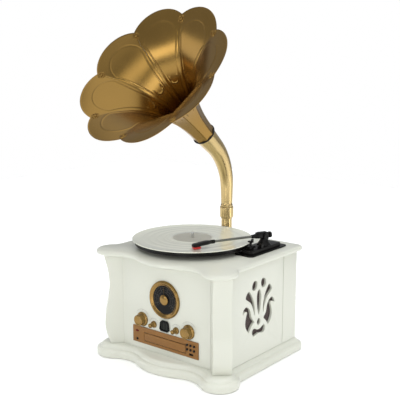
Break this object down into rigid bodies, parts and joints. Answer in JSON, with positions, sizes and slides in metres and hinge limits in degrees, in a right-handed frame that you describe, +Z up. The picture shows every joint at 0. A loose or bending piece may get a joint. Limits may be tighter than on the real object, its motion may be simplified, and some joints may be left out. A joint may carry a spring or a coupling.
{
  "type": "gramophone-style music centre with horn loudspeaker",
  "caption": "White bow-fronted cabinet with record deck, radio dial, CD drawer and pierced side grilles, crowned by a swivelling swan-neck horn with an octagonal petal bell.",
  "frame": {"origin": "bottom centre of the object's own box, on the table under the feet", "axes": "+Z up, +X to the right as seen from the front, +Y to the back; the dial, knobs and CD drawer face -Y"},
  "size_m": [0.4496, 0.4426, 0.8607],
  "materials": {
    "white_lacquer": "warm white lacquer, satin gloss, over fibreboard",
    "foot_rubber": "matt",
    "grille_cloth": "dark red-brown woven cloth",
    "black_plastic": "satin moulded",
    "black_weight": "satin black",
    "gold_trim": "satin gold metallised plastic",
    "black_gloss": "high gloss",
    "copper_panel": "satin copper-gold lacquered plastic",
    "lamp_red": "translucent dark red",
    "cartridge_red": "satin",
    "inner_steel": "plain",
    "circuit_green": "lacquered board",
    "white_vinyl": "glossy grooved vinyl",
    "grey_metal": "satin grey",
    "bell_brass": "satin antique brass lacquer"
  },
  "bodies": {
    "cabinet": {"base_board": "white_lacquer", "deck_board": "white_lacquer", "foot_front_left": "foot_rubber", "foot_back_left": "foot_rubber", "foot_front_right": "foot_rubber", "foot_back_right": "foot_rubber", "front_column_left": "white_lacquer", "front_column_right": "white_lacquer", "front_panel": "white_lacquer", "side_panel_left": "white_lacquer", "side_panel_right": "white_lacquer", "back_panel": "white_lacquer", "socket_plate": "black_plastic", "grille_cloth_left": "grille_cloth", "speaker_left": "black_plastic", "grille_cloth_right": "grille_cloth", "speaker_right": "black_plastic", "dial_bezel": "gold_trim", "dial_face": "black_gloss", "display_window": "black_gloss", "cd_panel": "copper_panel", "cd_mechanism": "inner_steel", "power_lamp": "lamp_red", "headphone_jack": "black_plastic", "circuit_board": "circuit_green", "transformer": "inner_steel", "motor": "inner_steel", "tonearm_plate": "black_plastic", "horn_post": "bell_brass"},
    "turntable": {"platter": "black_plastic", "record": "white_vinyl", "spindle": "inner_steel"},
    "tonearm_swivel": {"tonearm_yoke": "black_plastic"},
    "tonearm": {"tonearm_tube": "grey_metal", "headshell": "black_plastic", "cartridge": "cartridge_red"},
    "arm_weight": {"counterweight": "black_weight"},
    "cueing_lever": {"cue_lever": "black_plastic"},
    "horn": {"horn_neck": "bell_brass", "throat_gasket": "foot_rubber", "horn_petal_1": "bell_brass", "horn_petal_2": "bell_brass", "horn_petal_3": "bell_brass", "horn_petal_4": "bell_brass", "horn_petal_5": "bell_brass", "horn_petal_6": "bell_brass", "horn_petal_7": "bell_brass", "horn_petal_8": "bell_brass"},
    "drawer": {"cd_drawer": "copper_panel"},
    "dial_hand": {"dial_pointer": "gold_trim"},
    "volume_control": {"volume_knob": "gold_trim"},
    "function_control": {"function_knob": "gold_trim"},
    "tone_control": {"tone_knob": "gold_trim"},
    "tuning_control": {"tuning_knob": "gold_trim"},
    "key_1": {"button_1": "black_plastic"},
    "key_2": {"button_2": "black_plastic"},
    "key_3": {"button_3": "black_plastic"},
    "key_4": {"button_4": "black_plastic"},
    "key_5": {"button_5": "black_plastic"},
    "key_6": {"button_6": "black_plastic"}
  },
  "joints": [
    {"name": "platter_spin", "type": "hinge", "parent": "cabinet", "child": "turntable", "pos_m": [-0.01245, 0.02713, 0.29], "axis": [0, 0, 1], "continuous": true},
    {"name": "tonearm_swing", "type": "hinge", "parent": "cabinet", "child": "tonearm_swivel", "pos_m": [0.14515, 0.11333, 0.312], "axis": [0, 0, 1], "range_deg": [-22, 24]},
    {"name": "tonearm_lift", "type": "hinge", "parent": "tonearm_swivel", "child": "tonearm", "pos_m": [0.14515, 0.11333, 0.312], "axis": [-0.9191, 0.3939, 0], "range_deg": [0, 8]},
    {"name": "counterweight_adjust", "type": "slide", "parent": "tonearm", "child": "arm_weight", "axis": [0.3939, 0.9191, 0], "range_m": [-0.001, 0.004]},
    {"name": "cue_lever_turn", "type": "hinge", "parent": "cabinet", "child": "cueing_lever", "pos_m": [0.15715, 0.08133, 0.295], "axis": [-1, 0, 0], "range_deg": [0, 64]},
    {"name": "horn_swivel", "type": "hinge", "parent": "cabinet", "child": "horn", "pos_m": [-0.03185, 0.19483, 0.33], "axis": [0, 0, 1], "continuous": true},
    {"name": "volume_turn", "type": "hinge", "parent": "cabinet", "child": "volume_control", "pos_m": [-0.06285, -0.10617, 0.1093], "axis": [0, -1, 0], "range_deg": [-150, 150]},
    {"name": "function_turn", "type": "hinge", "parent": "cabinet", "child": "function_control", "pos_m": [-0.02435, -0.10617, 0.104], "axis": [0, -1, 0], "range_deg": [-45, 45]},
    {"name": "tone_turn", "type": "hinge", "parent": "cabinet", "child": "tone_control", "pos_m": [0.04665, -0.10617, 0.104], "axis": [0, -1, 0], "range_deg": [-135, 135]},
    {"name": "tuning_turn", "type": "hinge", "parent": "cabinet", "child": "tuning_control", "pos_m": [0.08515, -0.10617, 0.1093], "axis": [0, -1, 0], "range_deg": [-540, 540]},
    {"name": "dial_hand_turn", "type": "hinge", "parent": "cabinet", "child": "dial_hand", "pos_m": [0.01115, -0.10617, 0.1735], "axis": [0, -1, 0], "range_deg": [-135, 135]},
    {"name": "cd_drawer_slide", "type": "slide", "parent": "cabinet", "child": "drawer", "axis": [0, -1, 0], "range_m": [0, 0.13]},
    {"name": "button_1_press", "type": "slide", "parent": "cabinet", "child": "key_1", "axis": [0, 1, 0], "range_m": [0, 0.0012], "stiffness_N_per_m": 300, "springref_m": -0.001},
    {"name": "button_2_press", "type": "slide", "parent": "cabinet", "child": "key_2", "axis": [0, 1, 0], "range_m": [0, 0.0012], "stiffness_N_per_m": 300, "springref_m": -0.001},
    {"name": "button_3_press", "type": "slide", "parent": "cabinet", "child": "key_3", "axis": [0, 1, 0], "range_m": [0, 0.0012], "stiffness_N_per_m": 300, "springref_m": -0.001},
    {"name": "button_4_press", "type": "slide", "parent": "cabinet", "child": "key_4", "axis": [0, 1, 0], "range_m": [0, 0.0012], "stiffness_N_per_m": 300, "springref_m": -0.001},
    {"name": "button_5_press", "type": "slide", "parent": "cabinet", "child": "key_5", "axis": [0, 1, 0], "range_m": [0, 0.0012], "stiffness_N_per_m": 300, "springref_m": -0.001},
    {"name": "button_6_press", "type": "slide", "parent": "cabinet", "child": "key_6", "axis": [0, 1, 0], "range_m": [0, 0.0012], "stiffness_N_per_m": 300, "springref_m": -0.001}
  ],
  "couplings": [
    {"joint": "cue_lever_turn", "follows": "tonearm_lift", "ratio": 8},
    {"joint": "dial_hand_turn", "follows": "tuning_turn", "ratio": 0.25}
  ]
}
